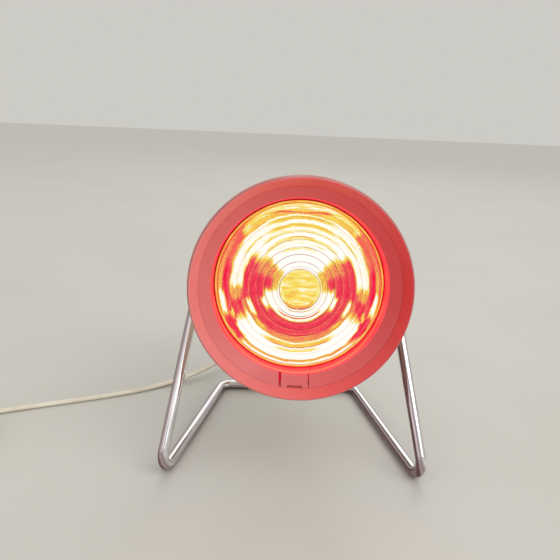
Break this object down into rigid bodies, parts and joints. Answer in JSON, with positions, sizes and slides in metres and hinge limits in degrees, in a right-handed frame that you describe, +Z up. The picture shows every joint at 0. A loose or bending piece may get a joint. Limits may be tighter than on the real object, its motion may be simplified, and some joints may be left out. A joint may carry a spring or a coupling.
{
  "type": "infrared heat therapy lamp",
  "caption": "Round infrared heat lamp head, open at the front, that tilts between the two ends of a bent tube stand; flat cord with a coil and a plug.",
  "frame": {"origin": "on the table, midway between the lamp's two sides and between its foremost and rearmost points, without the free cord", "axes": "+Z up, the lamp shines towards -Y, the tilt axis runs along X"},
  "size_m": [0.4097, 0.2362, 0.218],
  "materials": {
    "cream_plastic": "satin moulded plastic",
    "ruby_glass": "red stained glass",
    "silvered_glass": "aluminised inside",
    "tungsten": "drawn wire",
    "brass": "plain",
    "black_insulator": "vitrite",
    "ceramic": "glazed ceramic",
    "zinc_steel": "zinc plated",
    "chrome_tube": "bright chrome",
    "dark_nylon": "nylon",
    "cream_rubber": "soft PVC",
    "brown_core": "PVC core",
    "blue_core": "PVC core"
  },
  "bodies": {
    "stand": {"stand_tube": "chrome_tube", "tube_clip_left": "zinc_steel", "tube_clip_right": "zinc_steel", "cord_drop": "cream_rubber", "cord_lead": "cream_rubber", "cord_coil": "cream_rubber", "coil_tie": "dark_nylon", "plug_body": "cream_rubber", "plug_pins": "brass"},
    "head": {"housing_shell": "cream_plastic", "front_ring": "cream_plastic", "rear_cover": "cream_plastic", "cover_screws": "zinc_steel", "bulb_lens": "ruby_glass", "bulb_reflector": "silvered_glass", "bulb_filament": "tungsten", "bulb_leads": "tungsten", "bulb_cap": "brass", "bulb_cap_insulator": "black_insulator", "bulb_cap_contact": "brass", "holder_body": "ceramic", "holder_sleeve": "brass", "holder_contact": "brass", "holder_terminals": "brass", "terminal_screws": "zinc_steel", "holder_bracket": "zinc_steel", "holder_screws": "zinc_steel", "bracket_screws": "zinc_steel", "pivot_bush_left": "dark_nylon", "pivot_bush_right": "dark_nylon", "friction_washer_left": "zinc_steel", "friction_washer_right": "zinc_steel", "strain_relief": "cream_rubber", "inner_cord": "cream_rubber", "live_wire": "brown_core", "neutral_wire": "blue_core", "cord_clamp": "dark_nylon", "clamp_screws": "zinc_steel"}
  },
  "joints": [
    {"name": "head_tilt", "type": "hinge", "parent": "stand", "child": "head", "pos_m": [0, -0.01032, 0.1302], "axis": [-1, 0, 0], "range_deg": [-60, 50], "deforming": ["cord_drop"]}
  ]
}
